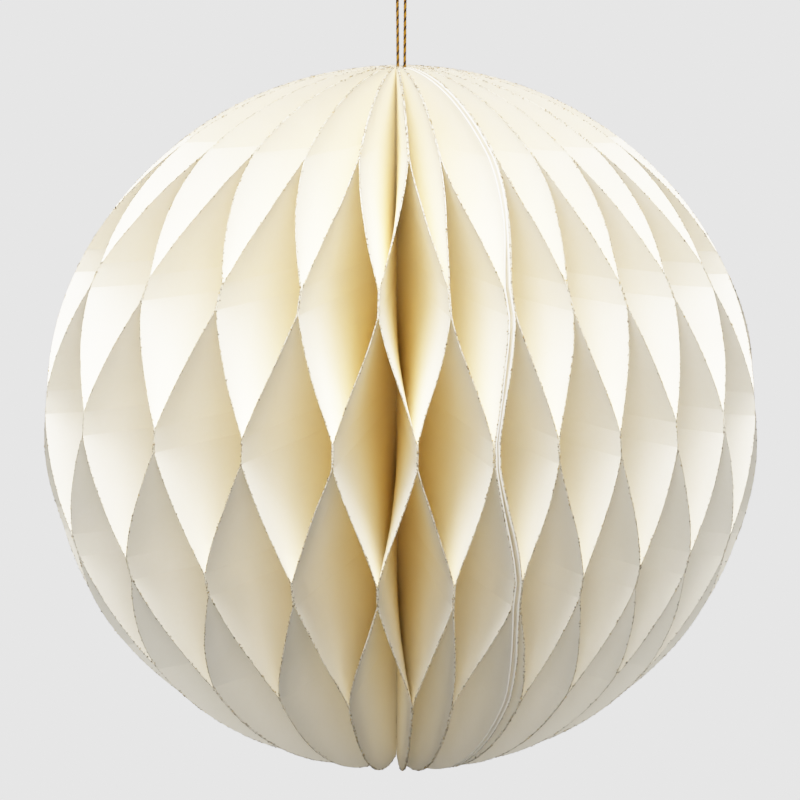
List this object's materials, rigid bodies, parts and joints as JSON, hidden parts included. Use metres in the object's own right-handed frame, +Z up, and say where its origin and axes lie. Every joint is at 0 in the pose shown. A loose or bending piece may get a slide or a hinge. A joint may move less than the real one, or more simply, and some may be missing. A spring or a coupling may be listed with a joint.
{
  "type": "paper honeycomb ball",
  "caption": "Cream paper honeycomb ball with gold glitter edges on a twisted gold hanging cord. Its leaves part into diamond cells, and the ball folds flat around its spine.",
  "frame": {"origin": "inside top of the hanging loop, where a hook carries it, on the ball's vertical axis", "axes": "+Z up along the cord and the spine, -Y towards the front of the ball, +X to the right as seen from the front"},
  "size_m": [0.2026, 0.2024, 0.2808],
  "materials": {
    "leaf_paper": "matt",
    "cover_card": "matt",
    "binding_paper": "matt",
    "glitter_edge": "glitter",
    "magnet": "nickel plated",
    "cord": "metallic yarn"
  },
  "bodies": {
    "cord_loop": {"hanging_loop": "cord"},
    "cord_end": {"cord_tail": "cord", "stop_knot": "cord"},
    "spine": {"spine_binding": "binding_paper", "leaf_21": "leaf_paper"},
    "left_cover": {"leaf_01": "leaf_paper", "left_cover_card": "cover_card", "left_magnets": "magnet"},
    "leaf_02": {"leaf_02": "leaf_paper"},
    "leaf_03": {"leaf_03": "leaf_paper"},
    "leaf_04": {"leaf_04": "leaf_paper"},
    "leaf_05": {"leaf_05": "leaf_paper"},
    "leaf_06": {"leaf_06": "leaf_paper"},
    "leaf_07": {"leaf_07": "leaf_paper"},
    "leaf_08": {"leaf_08": "leaf_paper"},
    "leaf_09": {"leaf_09": "leaf_paper"},
    "leaf_10": {"leaf_10": "leaf_paper"},
    "leaf_11": {"leaf_11": "leaf_paper"},
    "leaf_12": {"leaf_12": "leaf_paper"},
    "leaf_13": {"leaf_13": "leaf_paper"},
    "leaf_14": {"leaf_14": "leaf_paper"},
    "leaf_15": {"leaf_15": "leaf_paper"},
    "leaf_16": {"leaf_16": "leaf_paper"},
    "leaf_17": {"leaf_17": "leaf_paper"},
    "leaf_18": {"leaf_18": "leaf_paper"},
    "leaf_19": {"leaf_19": "leaf_paper"},
    "leaf_20": {"leaf_20": "leaf_paper"},
    "leaf_22": {"leaf_22": "leaf_paper"},
    "leaf_23": {"leaf_23": "leaf_paper"},
    "leaf_24": {"leaf_24": "leaf_paper"},
    "leaf_25": {"leaf_25": "leaf_paper"},
    "leaf_26": {"leaf_26": "leaf_paper"},
    "leaf_27": {"leaf_27": "leaf_paper"},
    "leaf_28": {"leaf_28": "leaf_paper"},
    "leaf_29": {"leaf_29": "leaf_paper"},
    "leaf_30": {"leaf_30": "leaf_paper"},
    "leaf_31": {"leaf_31": "leaf_paper"},
    "leaf_32": {"leaf_32": "leaf_paper"},
    "leaf_33": {"leaf_33": "leaf_paper"},
    "leaf_34": {"leaf_34": "leaf_paper"},
    "leaf_35": {"leaf_35": "leaf_paper"},
    "leaf_36": {"leaf_36": "leaf_paper"},
    "leaf_37": {"leaf_37": "leaf_paper"},
    "leaf_38": {"leaf_38": "leaf_paper"},
    "leaf_39": {"leaf_39": "leaf_paper"},
    "leaf_40": {"leaf_40": "leaf_paper"},
    "right_cover": {"leaf_41": "leaf_paper", "right_cover_card": "cover_card", "right_magnets": "magnet"}
  },
  "joints": [
    {"name": "ball_swing", "type": "hinge", "parent": "cord_loop", "child": "cord_end", "pos_m": [0, 0, -0.0795], "axis": [1, 0, 0], "range_deg": [-25, 25]},
    {"name": "ball_spin", "type": "hinge", "parent": "cord_end", "child": "spine", "pos_m": [0, 0, -0.268], "axis": [0, 0, 1], "range_deg": [-180, 180]},
    {"name": "fold", "type": "hinge", "parent": "spine", "child": "right_cover", "pos_m": [0.00353, 0.00116, -0.18], "axis": [0, 0, 1], "range_deg": [0, 178.04], "deforming": ["leaf_41", "right_cover_card", "leaf_21"]},
    {"name": "fold_left_cover", "type": "hinge", "parent": "spine", "child": "left_cover", "pos_m": [-0.00367, -0.00097, -0.18], "axis": [0, 0, 1], "range_deg": [-181.97, 0], "deforming": ["leaf_01", "left_cover_card"]},
    {"name": "fold_02", "type": "hinge", "parent": "spine", "child": "leaf_02", "pos_m": [-0.00359, -0.00071, -0.18], "axis": [0, 0, 1], "range_deg": [-175.41, 0], "deforming": ["leaf_02"]},
    {"name": "fold_03", "type": "hinge", "parent": "spine", "child": "leaf_03", "pos_m": [-0.00351, -0.0005, -0.18], "axis": [0, 0, 1], "range_deg": [-170.05, 0], "deforming": ["leaf_03"]},
    {"name": "fold_04", "type": "hinge", "parent": "spine", "child": "leaf_04", "pos_m": [-0.00343, -0.00029, -0.18], "axis": [0, 0, 1], "range_deg": [-164.41, 0], "deforming": ["leaf_04"]},
    {"name": "fold_05", "type": "hinge", "parent": "spine", "child": "leaf_05", "pos_m": [-0.00334, -0.00008, -0.18], "axis": [0, 0, 1], "range_deg": [-158.41, 0], "deforming": ["leaf_05"]},
    {"name": "fold_06", "type": "hinge", "parent": "spine", "child": "leaf_06", "pos_m": [-0.00324, 0.00013, -0.18], "axis": [0, 0, 1], "range_deg": [-152.02, 0], "deforming": ["leaf_06"]},
    {"name": "fold_07", "type": "hinge", "parent": "spine", "child": "leaf_07", "pos_m": [-0.00313, 0.00034, -0.18], "axis": [0, 0, 1], "range_deg": [-145.19, 0], "deforming": ["leaf_07"]},
    {"name": "fold_08", "type": "hinge", "parent": "spine", "child": "leaf_08", "pos_m": [-0.003, 0.00054, -0.18], "axis": [0, 0, 1], "range_deg": [-137.9, 0], "deforming": ["leaf_08"]},
    {"name": "fold_09", "type": "hinge", "parent": "spine", "child": "leaf_09", "pos_m": [-0.00287, 0.00073, -0.18], "axis": [0, 0, 1], "range_deg": [-130.12, 0], "deforming": ["leaf_09"]},
    {"name": "fold_10", "type": "hinge", "parent": "spine", "child": "leaf_10", "pos_m": [-0.00272, 0.00092, -0.18], "axis": [0, 0, 1], "range_deg": [-121.85, 0], "deforming": ["leaf_10"]},
    {"name": "fold_11", "type": "hinge", "parent": "spine", "child": "leaf_11", "pos_m": [-0.00257, 0.0011, -0.18], "axis": [0, 0, 1], "range_deg": [-113.08, 0], "deforming": ["leaf_11"]},
    {"name": "fold_12", "type": "hinge", "parent": "spine", "child": "leaf_12", "pos_m": [-0.00241, 0.00127, -0.18], "axis": [0, 0, 1], "range_deg": [-103.8, 0], "deforming": ["leaf_12"]},
    {"name": "fold_13", "type": "hinge", "parent": "spine", "child": "leaf_13", "pos_m": [-0.00224, 0.00143, -0.18], "axis": [0, 0, 1], "range_deg": [-94.02, 0], "deforming": ["leaf_13"]},
    {"name": "fold_14", "type": "hinge", "parent": "spine", "child": "leaf_14", "pos_m": [-0.00206, 0.00158, -0.18], "axis": [0, 0, 1], "range_deg": [-83.75, 0], "deforming": ["leaf_14"]},
    {"name": "fold_15", "type": "hinge", "parent": "spine", "child": "leaf_15", "pos_m": [-0.00188, 0.00172, -0.18], "axis": [0, 0, 1], "range_deg": [-72.99, 0], "deforming": ["leaf_15"]},
    {"name": "fold_16", "type": "hinge", "parent": "spine", "child": "leaf_16", "pos_m": [-0.00169, 0.00185, -0.18], "axis": [0, 0, 1], "range_deg": [-61.76, 0], "deforming": ["leaf_16"]},
    {"name": "fold_17", "type": "hinge", "parent": "spine", "child": "leaf_17", "pos_m": [-0.00149, 0.00197, -0.18], "axis": [0, 0, 1], "range_deg": [-50.09, 0], "deforming": ["leaf_17"]},
    {"name": "fold_18", "type": "hinge", "parent": "spine", "child": "leaf_18", "pos_m": [-0.00129, 0.00207, -0.18], "axis": [0, 0, 1], "range_deg": [-38.02, 0], "deforming": ["leaf_18"]},
    {"name": "fold_19", "type": "hinge", "parent": "spine", "child": "leaf_19", "pos_m": [-0.00108, 0.00216, -0.18], "axis": [0, 0, 1], "range_deg": [-25.61, 0], "deforming": ["leaf_19"]},
    {"name": "fold_20", "type": "hinge", "parent": "spine", "child": "leaf_20", "pos_m": [-0.00087, 0.00224, -0.18], "axis": [0, 0, 1], "range_deg": [-12.9, 0], "deforming": ["leaf_20"]},
    {"name": "fold_22", "type": "hinge", "parent": "spine", "child": "leaf_22", "pos_m": [-0.00043, 0.00237, -0.18], "axis": [0, 0, 1], "range_deg": [0, 13.05], "deforming": ["leaf_22"]},
    {"name": "fold_23", "type": "hinge", "parent": "spine", "child": "leaf_23", "pos_m": [-0.0002, 0.00241, -0.18], "axis": [0, 0, 1], "range_deg": [0, 26.08], "deforming": ["leaf_23"]},
    {"name": "fold_24", "type": "hinge", "parent": "spine", "child": "leaf_24", "pos_m": [0.00003, 0.00244, -0.18], "axis": [0, 0, 1], "range_deg": [0, 39.01], "deforming": ["leaf_24"]},
    {"name": "fold_25", "type": "hinge", "parent": "spine", "child": "leaf_25", "pos_m": [0.00026, 0.00246, -0.18], "axis": [0, 0, 1], "range_deg": [0, 51.72], "deforming": ["leaf_25"]},
    {"name": "fold_26", "type": "hinge", "parent": "spine", "child": "leaf_26", "pos_m": [0.0005, 0.00246, -0.18], "axis": [0, 0, 1], "range_deg": [0, 64.1], "deforming": ["leaf_26"]},
    {"name": "fold_27", "type": "hinge", "parent": "spine", "child": "leaf_27", "pos_m": [0.00073, 0.00245, -0.18], "axis": [0, 0, 1], "range_deg": [0, 76.04], "deforming": ["leaf_27"]},
    {"name": "fold_28", "type": "hinge", "parent": "spine", "child": "leaf_28", "pos_m": [0.00097, 0.00242, -0.18], "axis": [0, 0, 1], "range_deg": [0, 87.44], "deforming": ["leaf_28"]},
    {"name": "fold_29", "type": "hinge", "parent": "spine", "child": "leaf_29", "pos_m": [0.00121, 0.00238, -0.18], "axis": [0, 0, 1], "range_deg": [0, 98.23], "deforming": ["leaf_29"]},
    {"name": "fold_30", "type": "hinge", "parent": "spine", "child": "leaf_30", "pos_m": [0.00145, 0.00233, -0.18], "axis": [0, 0, 1], "range_deg": [0, 108.33], "deforming": ["leaf_30"]},
    {"name": "fold_31", "type": "hinge", "parent": "spine", "child": "leaf_31", "pos_m": [0.00168, 0.00227, -0.18], "axis": [0, 0, 1], "range_deg": [0, 117.72], "deforming": ["leaf_31"]},
    {"name": "fold_32", "type": "hinge", "parent": "spine", "child": "leaf_32", "pos_m": [0.00191, 0.00219, -0.18], "axis": [0, 0, 1], "range_deg": [0, 126.38], "deforming": ["leaf_32"]},
    {"name": "fold_33", "type": "hinge", "parent": "spine", "child": "leaf_33", "pos_m": [0.00213, 0.0021, -0.18], "axis": [0, 0, 1], "range_deg": [0, 134.32], "deforming": ["leaf_33"]},
    {"name": "fold_34", "type": "hinge", "parent": "spine", "child": "leaf_34", "pos_m": [0.00234, 0.00201, -0.18], "axis": [0, 0, 1], "range_deg": [0, 141.59], "deforming": ["leaf_34"]},
    {"name": "fold_35", "type": "hinge", "parent": "spine", "child": "leaf_35", "pos_m": [0.00254, 0.0019, -0.18], "axis": [0, 0, 1], "range_deg": [0, 148.24], "deforming": ["leaf_35"]},
    {"name": "fold_36", "type": "hinge", "parent": "spine", "child": "leaf_36", "pos_m": [0.00274, 0.00178, -0.18], "axis": [0, 0, 1], "range_deg": [0, 154.35], "deforming": ["leaf_36"]},
    {"name": "fold_37", "type": "hinge", "parent": "spine", "child": "leaf_37", "pos_m": [0.00292, 0.00166, -0.18], "axis": [0, 0, 1], "range_deg": [0, 160.03], "deforming": ["leaf_37"]},
    {"name": "fold_38", "type": "hinge", "parent": "spine", "child": "leaf_38", "pos_m": [0.0031, 0.00153, -0.18], "axis": [0, 0, 1], "range_deg": [0, 165.38], "deforming": ["leaf_38"]},
    {"name": "fold_39", "type": "hinge", "parent": "spine", "child": "leaf_39", "pos_m": [0.00327, 0.0014, -0.18], "axis": [0, 0, 1], "range_deg": [0, 170.52], "deforming": ["leaf_39"]},
    {"name": "fold_40", "type": "hinge", "parent": "spine", "child": "leaf_40", "pos_m": [0.00344, 0.00126, -0.18], "axis": [0, 0, 1], "range_deg": [0, 175.56], "deforming": ["leaf_40"]}
  ],
  "couplings": [
    {"joint": "fold_left_cover", "follows": "fold", "ratio": -1.022},
    {"joint": "fold_02", "follows": "fold", "ratio": -0.9852},
    {"joint": "fold_03", "follows": "fold", "ratio": -0.95507},
    {"joint": "fold_04", "follows": "fold", "ratio": -0.92336},
    {"joint": "fold_05", "follows": "fold", "ratio": -0.88969},
    {"joint": "fold_06", "follows": "fold", "ratio": -0.85379},
    {"joint": "fold_07", "follows": "fold", "ratio": -0.81543},
    {"joint": "fold_08", "follows": "fold", "ratio": -0.77447},
    {"joint": "fold_09", "follows": "fold", "ratio": -0.7308},
    {"joint": "fold_10", "follows": "fold", "ratio": -0.68434},
    {"joint": "fold_11", "follows": "fold", "ratio": -0.63507},
    {"joint": "fold_12", "follows": "fold", "ratio": -0.58297},
    {"joint": "fold_13", "follows": "fold", "ratio": -0.52804},
    {"joint": "fold_14", "follows": "fold", "ratio": -0.47033},
    {"joint": "fold_15", "follows": "fold", "ratio": -0.40989},
    {"joint": "fold_16", "follows": "fold", "ratio": -0.34683},
    {"joint": "fold_17", "follows": "fold", "ratio": -0.2813},
    {"joint": "fold_18", "follows": "fold", "ratio": -0.21351},
    {"joint": "fold_19", "follows": "fold", "ratio": -0.14377},
    {"joint": "fold_20", "follows": "fold", "ratio": -0.072421},
    {"joint": "fold_22", "follows": "fold", "ratio": 0.07322},
    {"joint": "fold_23", "follows": "fold", "ratio": 0.14641},
    {"joint": "fold_24", "follows": "fold", "ratio": 0.21904},
    {"joint": "fold_25", "follows": "fold", "ratio": 0.29044},
    {"joint": "fold_26", "follows": "fold", "ratio": 0.35998},
    {"joint": "fold_27", "follows": "fold", "ratio": 0.42705},
    {"joint": "fold_28", "follows": "fold", "ratio": 0.4911},
    {"joint": "fold_29", "follows": "fold", "ratio": 0.55166},
    {"joint": "fold_30", "follows": "fold", "ratio": 0.60842},
    {"joint": "fold_31", "follows": "fold", "ratio": 0.66115},
    {"joint": "fold_32", "follows": "fold", "ratio": 0.70978},
    {"joint": "fold_33", "follows": "fold", "ratio": 0.75439},
    {"joint": "fold_34", "follows": "fold", "ratio": 0.7952},
    {"joint": "fold_35", "follows": "fold", "ratio": 0.83255},
    {"joint": "fold_36", "follows": "fold", "ratio": 0.86691},
    {"joint": "fold_37", "follows": "fold", "ratio": 0.89881},
    {"joint": "fold_38", "follows": "fold", "ratio": 0.92887},
    {"joint": "fold_39", "follows": "fold", "ratio": 0.95771},
    {"joint": "fold_40", "follows": "fold", "ratio": 0.986}
  ]
}
